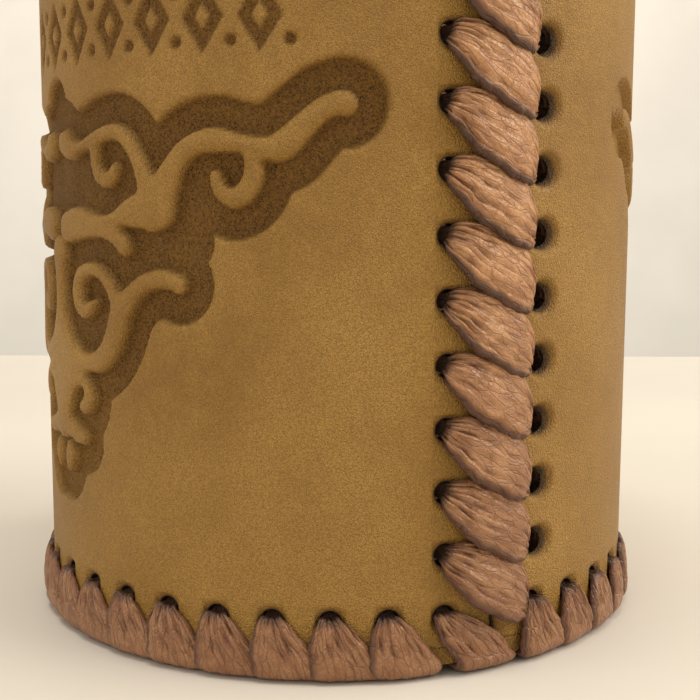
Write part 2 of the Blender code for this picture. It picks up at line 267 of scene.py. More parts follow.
def ornament_distances(arc, height):
    """Distances to the raised scrolls and to the border round them, both negative inside."""
    across = np.abs(arc - ORNAMENT_AXIS)
    height = height / ORNAMENT_STRETCH
    scrolls = np.full(arc.shape, FAR_AWAY)
    for stroke in SCROLLS:
        scrolls = smooth_union(scrolls, stroke_distance(across, height, stroke), SCROLL_FILLET)
    above = np.maximum(height - CROWN_TOP, CROWN_FOOT - height)
    crown = np.hypot(across, np.maximum(above, 0))
    fill = np.hypot(across - BORDER_FILL[0], height - BORDER_FILL[1])
    return scrolls, np.minimum(np.minimum(scrolls, crown), fill) - BORDER_WIDTH


def band_distance(arc, height):
    """Distance to the row of stamped lozenges and dots, negative inside them."""
    reach = (LOZENGE_COUNT - 1) / 2
    place = (arc - ORNAMENT_AXIS) / LOZENGE_PITCH
    nearest = np.clip(np.round(place), -reach, reach)
    across = np.abs(place - nearest) * LOZENGE_PITCH
    up = np.abs(height - BAND_MIDDLE)
    area = LOZENGE_HALF_WIDTH * LOZENGE_HALF_HEIGHT
    slant = across * LOZENGE_HALF_HEIGHT + up * LOZENGE_HALF_WIDTH
    outline = (slant - area) / math.hypot(LOZENGE_HALF_WIDTH, LOZENGE_HALF_HEIGHT)
    ring = np.abs(outline + LOZENGE_STROKE / 2) - LOZENGE_STROKE / 2
    dots = np.hypot(across - LOZENGE_PITCH / 2, up - DOT_RISE) - DOT_RADIUS
    return np.minimum(ring, dots)


# ---- the wall panels

# Grids of the outside and the inside: cells between two holes, half the block of cells that a hole
# takes, and rings of faces from that block to the hole
OUTER_GRID = (19, 5, 3)
INNER_GRID = (5, 2, 1)

# How wide and how deep the border, the holes' rims and the inner border are rounded
BORDER_ROUNDING = (0.7, 0.4)
RIM_ROUNDING = (1.4, 0.5)
INNER_ROUNDING = (1.5, 0.3)

# Soft dimples at a seam's right-hand holes
PULL_SHIFT = 0.8
PULL_REACH = 2.7
PULL_DROP = 0.8

# Depths of the steps down a hole's side and down the border's, the width of the darkened strip along the
# border, and the width of the painted shade round the holes' rims
HOLE_SIDE_STEPS = (0.55, WALL_THICKNESS - 0.3)
BORDER_SIDE_STEPS = (0.9, WALL_THICKNESS - 0.4)
BORDER_DARK_WIDTH = 2.5
RIM_SHADE_WIDTH = 1.3

# The heights between which the stain deepens upward
FADE = (18, 46)

# The distance from a hole's rim of points outside its block of cells, where nothing is rounded
NO_HOLE_NEAR = 10.0


def hole_places():
    """Column and row numbers of a panel's punched holes."""
    return [(column, row) for column in range(PANEL_COLUMNS) for row in range(SEAM_ROWS)
            if column in (0, PANEL_COLUMNS - 1) or row in (0, SEAM_ROWS - 1)]


def grid_lines(low, first, last, high, spans, cells):
    """Grid lines with a fixed number of cells between hole rows, and like-sized ones outside them."""
    step = (last - first) / (spans * cells)
    before = max(2, round((first - low) / step))
    after = max(2, round((high - last) / step))
    lines = np.concatenate([np.linspace(low, first, before + 1)[:-1],
                            np.linspace(first, last, spans * cells + 1),
                            np.linspace(last, high, after + 1)[1:]])
    return lines, before


def block_loop(half):
    """Offsets round a square block of grid cells, from its lower left corner, counterclockwise."""
    side = np.arange(-half, half)
    full = np.full(2 * half, half)
    return np.concatenate([np.stack([side, -full], 1), np.stack([full, side], 1),
                           np.stack([-side, full], 1), np.stack([-full, -side], 1)])


def punched_sheet(cells, block, rings):
    """A flat grid over a panel with round holes: its points, faces and open loops.

    A point is its arc, its height and its distance from a hole's rim. A loop comes with the
    places of its points along it, from 0 to 1. The last loop is the border.
    """
    arcs, first_column = grid_lines(-PANEL_REACH, -COLUMN_REACH, COLUMN_REACH, PANEL_REACH,
                                    PANEL_COLUMNS - 1, cells)
    heights, first_row = grid_lines(WALL_BOTTOM, BASE_ROW, RIM_ROW, WALL_TOP, SEAM_ROWS - 1, cells)
    wide, tall = len(arcs), len(heights)
    number = np.arange(wide * tall).reshape(wide, tall)
    arc, height = (values.ravel() for values in np.meshgrid(arcs, heights, indexing="ij"))
    points = [np.stack([arc, height, np.full(arc.shape, NO_HOLE_NEAR)], 1)]
    solid = np.ones((wide - 1, tall - 1), bool)
    faces, loops, count = [], [], wide * tall
    offsets = block_loop(block)
    for column, row in hole_places():
        i, j = first_column + column * cells, first_row + row * cells
        solid[i - block:i + block, j - block:j + block] = False
        centre = np.array([arcs[i], heights[j]])
        loop = number[i + offsets[:, 0], j + offsets[:, 1]]
        outline = np.stack([arc[loop], height[loop]], 1) - centre
        circle = outline / np.linalg.norm(outline, axis=1)[:, None] * HOLE_RADIUS
        for ring in range(1, rings + 1):
            share = ring / rings
            spread = outline * (1 - share) + circle * share
            gap = np.linalg.norm(spread, axis=1) - HOLE_RADIUS
            points.append(np.column_stack([spread + centre, gap]))
            following = np.arange(count, count + len(loop))
            count += len(loop)
            faces.append(np.stack([loop, np.roll(loop, -1), np.roll(following, -1), following], 1))
            loop = following
        loops.append((loop, np.arange(len(loop)) / len(loop)))
    i, j = np.nonzero(solid)
    faces.insert(0, np.stack([number[i, j], number[i + 1, j], number[i + 1, j + 1], number[i, j + 1]], 1))
    border = np.concatenate([number[:-1, 0], number[-1, :-1], number[:0:-1, -1], number[0, :0:-1]])
    across, up = np.linspace(0, 1, wide)[:-1], np.linspace(0, 1, tall)[:-1]
    loops.append((border, np.concatenate([across, 1 + up, 2 + across, 3 + up]) / 4))
    return np.vstack(points), np.vstack(faces), loops


def zip_loops(first, first_at, second, second_at):
    """Triangles between two closed loops of points, matched by their places from 0 to 1."""
    moves = [(place, 0) for place in (*first_at[1:], 1)] + [(place, 1) for place in (*second_at[1:], 1)]
    faces, i, j = [], 0, 0
    for _, side in sorted(moves):
        here, there = first[i % len(first)], second[j % len(second)]
        if side == 0:
            i += 1
            faces.append((here, there, first[i % len(first)]))
        else:
            j += 1
            faces.append((here, there, second[j % len(second)]))
    return faces


def edge_drop(gap, width, drop):
    """How far a rounded edge falls away, from the distance to it."""
    share = np.clip(1 - gap / width, 0, 1)
    return drop * share * share


def pull_of_laces(arc, height):
    """How far the leather gives way where a seam's lace pulls it sideways, from 0 to 1."""
    nearest_row = np.clip(np.round((height - BASE_ROW) / SEAM_PITCH), 1, SEAM_ROWS - 2)
    across = arc + COLUMN_REACH - PULL_SHIFT
    up = height - BASE_ROW - nearest_row * SEAM_PITCH
    return smoothstep(PULL_REACH, HOLE_RADIUS, np.hypot(across, up))


def relief(arc, height, hole_gap, stained):
    """How far a panel's face is lowered, how stained it is, and how dark it is painted, at each of its
    points: a darkened strip along the border, and painted shade round the holes' rims and in the dimples
    that the seam laces pull.

    The stained panel also has the stamped band. The other one's ornament is shifted.
    """
    scrolls, cartouche = ornament_distances(arc if stained else arc - REAR_SHIFT, height)
    recess = (smoothstep(BORDER_LIP, -EMBOSS_SLOPE, cartouche)
              * smoothstep(SCROLL_LIP, SCROLL_LIP + EMBOSS_SLOPE, scrolls))
    rounding = 1 - np.clip(1 + scrolls / SWELL_REACH, 0, 1) ** 2
    swell = SCROLL_SWELL * rounding * smoothstep(1, -1, cartouche)
    lowered = EMBOSS_DEPTH * recess - swell
    stain = np.zeros(len(arc))
    if stained:
        band = smoothstep(STAMP_LIP, STAMP_FOOT, band_distance(arc, height))
        lowered = lowered + STAMP_DEPTH * band
        stain = np.maximum(recess, band)
    border_gap = np.minimum(PANEL_REACH - np.abs(arc), WALL_TOP - height)
    pulled = pull_of_laces(arc, height)
    lowered = (lowered + edge_drop(border_gap, *BORDER_ROUNDING)
               + edge_drop(hole_gap, *RIM_ROUNDING) + PULL_DROP * pulled)
    # Darkened strips along the border, and painted shade round the holes' rims and in the pulled dimples
    rim_shade_and_border_dark = np.maximum(edge_drop(border_gap, BORDER_DARK_WIDTH, 1), edge_drop(hole_gap, RIM_SHADE_WIDTH, 1))
    return lowered, stain, np.maximum(rim_shade_and_border_dark, pulled)


def side_walls(sheet, loops, inner_loops, turn):
    """The sides of a panel's holes and border: their points, their faces and the next free number.

    Their points are numbered on from the outer sheet's, and the inner sheet's on from them.
    """
    depths = [HOLE_SIDE_STEPS] * (len(loops) - 1) + [BORDER_SIDE_STEPS]
    count = len(sheet)
    inner_start = count + sum(len(loop) * len(steps) for (loop, _), steps in zip(loops, depths))
    points, faces = [], []
    for (loop, at), (inner_loop, inner_at), steps in zip(loops, inner_loops, depths):
        place = sheet[loop]
        for depth in steps:
            points.append(in_space(place[:, 0] + turn, OUTER_RADIUS - depth, place[:, 1]))
            following = np.arange(count, count + len(loop))
            count += len(loop)
            faces += np.stack([loop, following, np.roll(following, -1), np.roll(loop, -1)], 1).tolist()
            loop = following
        faces += zip_loops(loop, at, inner_loop + inner_start, inner_at)
    return points, faces, inner_start


def wall_panel(name, node, turn, stained, materials):
    """One wall panel: its embossed outside, the sides of its holes and border, and its inside.

    turn is the arc from the front of the cup to the panel's middle.
    """
    sheet, faces, loops = punched_sheet(*OUTER_GRID)
    inner, inner_faces, inner_loops = punched_sheet(*INNER_GRID)
    side_points, side_faces, inner_start = side_walls(sheet, loops, inner_loops, turn)
    arc, height, hole_gap = sheet.T
    lowered, stain, hole_shade_and_edge_dark = relief(arc, height, hole_gap, stained)
    inner_arc, inner_height, _ = inner.T
    inner_gap = np.minimum(np.minimum(PANEL_REACH - np.abs(inner_arc), inner_height - WALL_BOTTOM),
                           WALL_TOP - inner_height)
    inner_radius = INNER_RADIUS + edge_drop(inner_gap, *INNER_ROUNDING)
    points = np.vstack([in_space(arc + turn, OUTER_RADIUS - lowered, height), *side_points,
                        in_space(inner_arc + turn, inner_radius, inner_height)])
    all_faces = faces.tolist() + side_faces + (inner_faces[:, ::-1] + inner_start).tolist()
    slots = [0] * len(faces) + [1] * len(side_faces) + [2] * len(inner_faces)
    rest = np.zeros(len(points) - len(sheet))
    values = {"stain": np.concatenate([stain, rest]),
              "hole_shade_and_edge_dark": np.concatenate([hole_shade_and_edge_dark, rest + 1]),
              "fade": np.concatenate([smoothstep(*FADE, height), rest])}
    used = np.zeros(len(points), bool)
    used[np.concatenate([np.asarray(face) for face in all_faces])] = True
    renumber = np.cumsum(used) - 1
    all_faces = [tuple(renumber[list(face)]) for face in all_faces]
    panel = make_mesh(name, points[used], all_faces, materials, slots,
                      {key: numbers[used] for key, numbers in values.items()})
    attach(panel, "root")
    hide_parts(node)


# ---- laces

# Steps along a lace, where it shows its folds and elsewhere, and points across its top and back
FINE_STEP = 0.33
COARSE_STEP = 0.8
LEAST_SPAN = 0.2
SEAM_TOP_POINTS = 45
EDGE_TOP_POINTS = 34
UNDER_POINTS = 5
STATION_VALUES = 13

# A lace's section, whose places run from -1 to 1 across it: the reach of its back, the powers that
# round its top, and how much its width wavers
UNDER_REACH = 0.8
TOP_FLATNESS = 6
SIDE_ROUNDING = 0.45
WIDTH_WAVE = 0.025

# The gathered folds of each stitch
FOLD_COUNT = 8
FOLD_DEPTH = 0.78
FOLD_WIDTH = 0.08
FOLD_SPREAD = 0.82
FOLD_JITTER = 0.1
FOLD_DRIFT = 0.045
FOLD_STRENGTHS = (0.35, 1.0)
FOLD_WIDTHS = (0.6, 1.3)

# Where a lace takes painted shade: at the half widths it is squeezed to in a hole and beside it, and
# between those depths from the wall's face
HOLE_SQUEEZE = (2.2, 1.5)
HOLE_MOUTH = (0.3, -0.9)
HOLE_END = (-3.75, -2.9)
NECK_SQUEEZE = (2.5, 1.4)
NECK_END = (-2.6, -1.2)
NECK_SHADE = 0.75

# How much further the stitch at a seam slants, to cover the corner
SEAM_LEAN = 3.8


def station(low, high, normal, cup=0.0, thick=1.0, puff=0.0, folds=0.0):
    """One cross-section of a lace: its two edges, the way its top faces, and its form.

    Places are (arc, depth, height), with depth outward from the wall's face. cup is how far the
    middle sinks below the edges, puff how far it swells, and folds how deep its folds are.
    """
    return np.array([*low, *high, *normal, cup, thick, puff, folds], float)


def stations(*rows):
    """Several stations, from their rows of values."""
    return [station(*row) for row in rows]


def moved(rows, arc, height):
    """The same stations at another place on the wall."""
    shift = np.zeros(STATION_VALUES)
    shift[[0, 3]] = arc
    shift[[2, 5]] = height
    return [row + shift for row in rows]


def strand_samples(rows, stitch_numbers):
    """Cross-sections at close steps along smooth curves through the stations."""
    rows = np.array(rows)
    change = np.diff(rows, axis=0)
    spans = (np.linalg.norm(change[:, :3], axis=1) + np.linalg.norm(change[:, 3:6], axis=1)) / 2
    spans = np.maximum(spans, LEAST_SPAN)
    rates = change / spans[:, None]
    slopes = np.vstack([rates[:1], (rates[:-1] * spans[1:, None] + rates[1:] * spans[:-1, None])
                        / (spans[1:] + spans[:-1])[:, None], rates[-1:]])
    samples, numbers, places = [], [], []
    travelled = 0
    for index, span in enumerate(spans):
        shown = rows[index, -1] + rows[index + 1, -1] > 0
        count = max(2, math.ceil(span / (FINE_STEP if shown else COARSE_STEP)))
        share = np.arange(count)[:, None] / count
        samples.append(hermite(share, *rows[index:index + 2], *(span * slopes[index:index + 2])))
        numbers += [stitch_numbers[index]] * count
        places.append(travelled + share[:, 0] * span)
        travelled += span
    samples.append(rows[-1:])
    numbers.append(stitch_numbers[-1])
    places.append(np.array([travelled]))
    return np.vstack(samples), np.array(numbers), np.concatenate(places)


def fold_grooves(across, numbers, places, random):
    """Narrow pleats along a lace, set afresh for each stitch: 0 between them, 1 in their beds."""
    count = numbers.max() + 1
    spread = np.linspace(-FOLD_SPREAD, FOLD_SPREAD, FOLD_COUNT)
    middle = spread + random.uniform(-FOLD_JITTER, FOLD_JITTER, (count, FOLD_COUNT))
    strength = random.uniform(*FOLD_STRENGTHS, (count, FOLD_COUNT))
    width = FOLD_WIDTH * random.uniform(*FOLD_WIDTHS, (count, FOLD_COUNT))
    phase = random.uniform(0, math.tau, (count, FOLD_COUNT))
    total = np.zeros((len(places), len(across)))
    for fold in range(FOLD_COUNT):
        turn = phase[numbers, fold]
        bed = middle[numbers, fold] + FOLD_DRIFT * np.sin(places * 0.9 + turn)
        swell = strength[numbers, fold] * (0.75 + 0.25 * np.sin(places * 1.7 + 2 * turn))
        gap = (across[None, :] - bed[:, None]) / width[numbers, fold][:, None]
        total = np.maximum(total, swell[:, None] * np.exp(-gap * gap))
    return total


def squeeze_shade(half_width, middle_depth, depths):
    """How dark a lace is where it is squeezed: in its holes, and less so just outside them."""
    in_hole = smoothstep(*HOLE_MOUTH, depths) * smoothstep(*HOLE_END, depths)
    in_hole = smoothstep(*HOLE_SQUEEZE, half_width)[:, None] * in_hole
    neck = NECK_SHADE * smoothstep(*NECK_SQUEEZE, half_width) * smoothstep(*NECK_END, middle_depth)
    return np.maximum(in_hole, neck[:, None])


def lace(name, rows, stitch_numbers, top_points, node, seed, material):
    """A lace as one closed, rounded and pleated strip through its stations."""
    samples, numbers, places = strand_samples(rows, stitch_numbers)
    random = np.random.default_rng(seed)
    low, high, normal = samples[:, :3], samples[:, 3:6], samples[:, 6:9]
    cup, thick, puff, folds = (samples[:, column][:, None] for column in range(9, STATION_VALUES))
    middle, half = (low + high) / 2, (high - low) / 2
    wave = WIDTH_WAVE * (np.sin(places * 1.3) + 0.8 * np.sin(places * 2.9 + 1))
    half = half * (1 + wave)[:, None]
    half_width = np.linalg.norm(half, axis=1)
    unit = half / half_width[:, None]
    normal = normal - unit * (normal * unit).sum(1)[:, None]
    normal = normal / np.linalg.norm(normal, axis=1)[:, None]
    top_across = np.sin(np.linspace(-math.pi / 2, math.pi / 2, top_points))
    across = np.concatenate([top_across, np.linspace(UNDER_REACH, -UNDER_REACH, UNDER_POINTS)])
    gathered = np.clip(folds, 0, 1)
    grooves = fold_grooves(top_across, numbers, places, random) * gathered
    profile = (1 - np.abs(top_across) ** TOP_FLATNESS) ** SIDE_ROUNDING
    lift = thick * profile + puff * (1 - top_across**2) - FOLD_DEPTH * grooves * profile
    back = np.zeros((len(samples), UNDER_POINTS))
    rise = np.hstack([lift, back]) - cup * (1 - across**2)
    points = middle[:, None] + half[:, None] * across[:, None] + normal[:, None] * rise[:, :, None]
    loop = len(across)
    values = {"crease": np.hstack([grooves, back]).ravel(),
              "along": np.repeat(places, loop),
              "across": np.tile(across, len(samples)),
              "worked": np.repeat(gathered[:, 0], loop),
              "sunk": squeeze_shade(half_width, middle[:, 1], points[:, :, 1]).ravel()}
    points = points.reshape(-1, 3)
    positions = in_space(points[:, 0], OUTER_RADIUS + points[:, 1], points[:, 2])
    faces = tube_faces(len(samples), loop)
    faces.append(tuple(range(loop)))
    faces.append(tuple(range(len(points) - 1, len(points) - 1 - loop, -1)))
    item = make_mesh(name, positions, faces, [material], None, values)
    face_outward(item)
    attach(item, "root")
    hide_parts(node)


def seam_stitch(last):
    """A leaf-shaped stitch from a left hole down to the right hole a row lower, and back inside.

    Each list of stations is given from its own hole.
    """
    out, inward = (0, 1, 0), (0, -1, 0)
    from_left = stations(
        ((0.9, -3.35, -1.2), (0.9, -3.35, 1.2), (-0.7, -0.7, 0), 0.4, 0.9),
        ((0.9, -2.6, -1.0), (0.9, -2.6, 1.0), (-1, -0.1, 0), 0.35, 2.0),
        ((0.1, -1.3, -1.25), (0.9, -1.3, 1.0), (-0.95, 0, 0.25), 0.6, 1.0),
        ((-0.15, -0.5, -1.25), (0.95, -0.5, 1.1), (-0.87, 0.1, 0.5), 0.5, 1.0, 0, 0.5),
        ((-0.5, 0.1, -1.45), (0.95, 0.15, 1.45), (-0.6, 0.7, 0.35), 0.4, 0.95, 0, 1.0),
        ((-0.45, 0.5, -2.1), (1.9, 0.35, 1.6), (-0.2, 0.95, 0.15), 0.1, 1.0, 0.2, 1.0),
        ((0.2, 0.95, -3.1), (3.1, 0.25, 1.6), out, 0, 1.0, 0.4, 0.95),
        ((1.4, 1.25, -4.6), (4.6, 0.15, 1.2), out, 0, 1.0, 0.5, 0.8),
        ((3.1, 1.4, -6.1), (6.2, 0.1, 0.6), out, 0, 1.0, 0.55, 0.6),
        ((5.1, 1.4, -7.4), (7.8, 0.1, -0.2), out, 0, 1.0, 0.55, 0.5),
        ((7.2, 1.3, -8.5), (9.3, 0.1, -1.1), out, 0, 1.0, 0.5, 0.5),
        ((9.1, 1.0, -9.2), (10.6, 0.15, -2.4), out, 0, 0.95, 0.35, 0.6),
        ((10.2, 0.5, -9.4), (11.2, 0.2, -4.0), (0.1, 1, 0), 0, 0.9, 0.2, 0.8))
    to_right = stations(
        ((-2.3, 0.3, -1.7), (-1.7, 0.2, 2.1), (0.3, 0.95, 0.05), 0.05, 0.8, 0, 0.9),
        ((-1.75, 0.1, -1.25), (-1.6, 0.1, 1.35), (0.8, 0.6, 0), 0.25, 0.7, 0, 0.6),
        ((-1.25, -0.6, -1.0), (-1.25, -0.6, 1.0), (1, 0.1, 0), 0.4, 0.65),
        ((-0.95, -2.6, -1.0), (-0.95, -2.6, 1.0), (1, -0.1, 0), 0.35, 1.9),
        ((-0.95, -3.35, -1.2), (-0.95, -3.35, 1.2), (0.7, -0.7, 0), 0.35, 0.9))
    if last:
        to_right += [station((-1.2, -3.5, 2.2), (1.6, -3.5, 2.6), inward, 0, 0.9),
                     station((-1.4, -3.5, 6.4), (1.6, -3.5, 6.6), inward, 0, 0.9)]
    else:
        to_right += [station((share * SEAM_ARC, -3.3, -1.6), (share * SEAM_ARC, -3.3, 1.6), inward,
                             0, 0.9, 0.2) for share in (-0.45, -1, -1.55)]
    return moved(from_left, -SEAM_ARC, 0) + moved(to_right, SEAM_ARC, -SEAM_PITCH)


def seam_lace(name, node, seam_arc, seed, material):
    """One seam's lace, from the rim row down to the base row."""
    inward = (0, -1, 0)
    rows = moved([station((-1.6, -3.5, -6.4), (1.4, -3.5, -6.6), inward, 0, 0.9),
                  station((-1.4, -3.5, -2.6), (1.4, -3.5, -2.4), inward, 0, 0.9)],
                 seam_arc - SEAM_ARC, RIM_ROW)
    numbers = [0, 0]
    for stitch in range(SEAM_ROWS - 1):
        turns = seam_stitch(stitch == SEAM_ROWS - 2)
        rows += moved(turns, seam_arc, RIM_ROW - stitch * SEAM_PITCH)
        numbers += [stitch] * len(turns)
    lace(name, rows, numbers, SEAM_TOP_POINTS, node, seed, material)


def leaning(rows, low_shares, high_shares, lean):
    """Stations with their two edges moved along the wall by their shares of a stitch's lean."""
    moves = np.zeros((len(rows), STATION_VALUES))
    moves[:, 0] = np.array(low_shares) * lean
    moves[:, 3] = np.array(high_shares) * lean
    return [row + move for row, move in zip(rows, moves)]


def edge_petal(lean):
    """The part of an edge stitch outside the wall, from its hole down to the wall's edge.

    lean is how much further than usual it slants to the right.
    """
    rows = stations(
        ((-1.2, -3.35, -1.0), (1.2, -3.35, -1.0), (0, -0.7, 0.7), 0.4, 0.9),
        ((-1.15, -2.4, -0.95), (1.15, -2.4, -0.95), (0, 0, 1), 0.35, 2.1),
        ((-1.25, -0.7, -0.2), (1.25, -0.7, -0.15), (0, 0.15, 1), 0.6, 1.15, 0, 0.6),
        ((-1.45, 0.0, 0.1), (1.5, 0.0, 0.15), (0, 0.6, 0.8), 0.45, 1.0, 0, 1.0),
        ((-1.9, 0.3, -0.75), (2.35, 0.2, -0.3), (0, 0.9, 0.42), 0.2, 0.95, 0, 1.0),
        ((-2.35, 0.55, -2.1), (3.6, 0.15, -1.75), (0, 1, 0.1), 0, 0.95, 0.05, 1.0),
        ((-2.5, 0.7, -3.5), (5.0, 0.1, -3.4), (0, 1, 0), 0, 0.95, 0.12, 0.85),
        ((-2.5, 0.7, -4.8), (6.0, 0.05, -4.8), (0, 1, 0), 0, 0.95, 0.12, 0.5),
        ((-2.5, 0.5, -5.85), (6.7, 0.0, -5.85), (0, 0.95, -0.3), 0, 0.95, 0.1, 0.3),
        ((-2.5, 0.1, -5.98), (6.8, -0.3, -5.98), (0, 0.5, -0.87), 0, 1.05, 0.05, 0.25))
    low_shares = (0, 0, 0, 0, 0.12, 0.35, 0.6, 0.85, 1, 1)
    high_shares = (0, 0, 0, 0.05, 0.3, 0.65, 0.78, 0.8, 0.85, 0.85)
    return leaning(rows, low_shares, high_shares, lean)


def base_stitch(lean):
    """A base stitch: its petal, the turn under the base disc and the run up inside."""
    under = (0, 0, -1)
    rows = stations(
        ((-2.3, -0.9, -5.95), (6.7, -0.9, -5.95), (0, 0.05, -1), 0, 1.1, 0.05, 0.2),
        ((0.2, -3.2, -5.95), (5.4, -3.2, -5.95), under, 0, 1.1),
        ((1.4, -5.3, -5.9), (4.4, -5.3, -5.9), (0, -0.2, -1), 0.1, 1.0),
        ((1.48, -6.0, -5.3), (4.12, -6.0, -5.3), (0, -1, -0.1), 0.35, 2.1),
        ((1.48, -6.0, -4.1), (4.12, -6.0, -4.1), (0, -1, 0.1), 0.35, 2.1),
        ((1.7, -5.9, -3.45), (4.2, -5.9, -3.55), (0, -0.7, 0.7), 0.3, 0.9),
        ((4.1, -4.1, -1.8), (5.7, -5.2, -2.9), (0, -0.7, 0.7), 0, 0.9, 0.1))
    shares = (0.85, 0.45, 0, 0, 0, 0, 0)
    return edge_petal(lean) + leaning(rows, shares, shares, lean)


def rim_stitch(lean):
    """A rim stitch: the base's petal turned upside down, then over the rim and down inside."""
    rows = stations(
        ((-2.3, -0.9, -5.95), (6.7, -0.9, -5.95), (0, 0.1, -1), 0, 1.1, 0.05, 0.4),
        ((-1.2, -2.5, -5.95), (6.0, -2.5, -5.95), (0, -0.1, -1), 0, 1.1, 0.05, 0.4),
        ((0.2, -3.3, -5.5), (5.2, -3.3, -5.6), (0, -0.75, -0.65), 0, 1.0, 0.15, 0.5),
        ((1.6, -3.4, -4.1), (4.9, -3.4, -5.0), (0, -1, 0), 0, 0.95, 0.25, 0.4),
        ((4.1, -3.35, -1.7), (5.9, -3.35, -3.5), (0, -1, 0.1), 0, 0.9, 0.15))
    shares = (0.85, 0.7, 0.4, 0.1, 0)
    rows = edge_petal(lean) + leaning(rows, shares, shares, lean)
    mirror = np.ones(STATION_VALUES)
    mirror[[2, 5, 8]] = -1
    return [row * mirror for row in rows]


def edge_lace(name, node, stitch_rows, height, tail, seed, material):
    """A lace worked once round through a row of holes, starting at the middle of the rear."""
    arcs = [column_arc(half, column) for half in (-1, 0, 1) for column in range(PANEL_COLUMNS)]
    first = PANEL_COLUMNS // 2
    arcs = arcs[first:first + 2 * PANEL_COLUMNS]
    rows = moved([station((-1.6, -3.5, 2 * tail), (1.6, -3.5, 2 * tail), (0, -1, 0), 0, 0.9),
                  station((-1.5, -3.5, tail), (1.5, -3.5, tail), (0, -1, 0), 0, 0.9)], arcs[0], height)
    numbers = [0, 0]
    for stitch, arc in enumerate(arcs):
        at_seam = (stitch + first) % PANEL_COLUMNS == PANEL_COLUMNS - 1
        turns = stitch_rows(SEAM_LEAN if at_seam else 0)
        rows += moved(turns, arc, height)
        numbers += [stitch] * len(turns)
    lace(name, rows, numbers, EDGE_TOP_POINTS, node, seed, material)


# ---- base disc and floor pad

DISC_SIDES = 180
DISC_HOLE_RADIUS = 1.2
DISC_HOLE_SIDES = 24
DISC_BEVEL = 0.15
CUT_FACES_WITHIN = OUTER_RADIUS - 2
SHARP_FROM = math.radians(50)
PAD_RINGS = 60
PAD_SIDES = 144
PAD_ROLL_STEPS = 12
PAD_CROWN = 0.5
PAD_WAVE = 0.12


def object_of(name, source_bm):
    """An object in the scene made from a bmesh, which is freed."""
    mesh = bpy.data.meshes.new(name)
    source_bm.to_mesh(mesh)
    source_bm.free()
    return linked(name, mesh)


def disc_punch():
    """One object with a cylinder through each of the base disc's lace holes, to cut them with."""
    thickness = DISC_HIGH.z - DISC_LOW.z
    punch_bm = bmesh.new()
    for half in (0, 1):
        for column in range(PANEL_COLUMNS):
            arc = column_arc(half, column) + STITCH_LEAN
            place = Vector(in_space(arc, BASE_HOLE_CIRCLE, (DISC_LOW.z + DISC_HIGH.z) / 2))
            bmesh.ops.create_cone(punch_bm, cap_ends=True, segments=DISC_HOLE_SIDES,
                                  radius1=DISC_HOLE_RADIUS * MM, radius2=DISC_HOLE_RADIUS * MM,
                                  depth=3 * thickness * MM, matrix=Matrix.Translation(place))
    return object_of("punch", punch_bm)


def base_disc(materials):
    """The round floor of leather, flesh side up, its rims rounded and its lace holes punched."""
    low, high = DISC_LOW.z, DISC_HIGH.z
    disc_bm = bmesh.new()
    bmesh.ops.create_cone(disc_bm, cap_ends=True, segments=DISC_SIDES, radius1=DISC_HIGH.x * MM,
                          radius2=DISC_HIGH.x * MM, depth=(high - low) * MM,
                          matrix=Matrix.Translation((0, 0, (low + high) / 2 * MM)))
    rims = [edge for edge in disc_bm.edges if abs(edge.verts[0].co.z - edge.verts[1].co.z) < 0.1 * MM]
    bmesh.ops.bevel(disc_bm, geom=rims, offset=DISC_BEVEL * MM, segments=4, profile=0.5, affect="EDGES")
    disc = object_of("base_disc_leather", disc_bm)
    punch = disc_punch()
    cut = disc.modifiers.new("holes", "BOOLEAN")
    cut.object = punch
    bpy.context.view_layer.update()
    finished = bpy.data.meshes.new_from_object(disc.evaluated_get(bpy.context.evaluated_depsgraph_get()))
    disc.modifiers.clear()
    disc.data = finished
    bpy.data.objects.remove(punch)
    finished.materials.clear()
    for material in materials:
        finished.materials.append(material)
    for face in finished.polygons:
        radius = math.hypot(face.center.x, face.center.y) / MM
        if abs(face.normal.z) < 0.3 and radius < CUT_FACES_WITHIN:
            face.material_index = 1
        elif face.normal.z > 0.9:
            face.material_index = 2
    finished.shade_smooth()
    finished.set_sharp_from_angle(angle=SHARP_FROM)
    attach(disc, "root")
    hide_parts("base_disc")


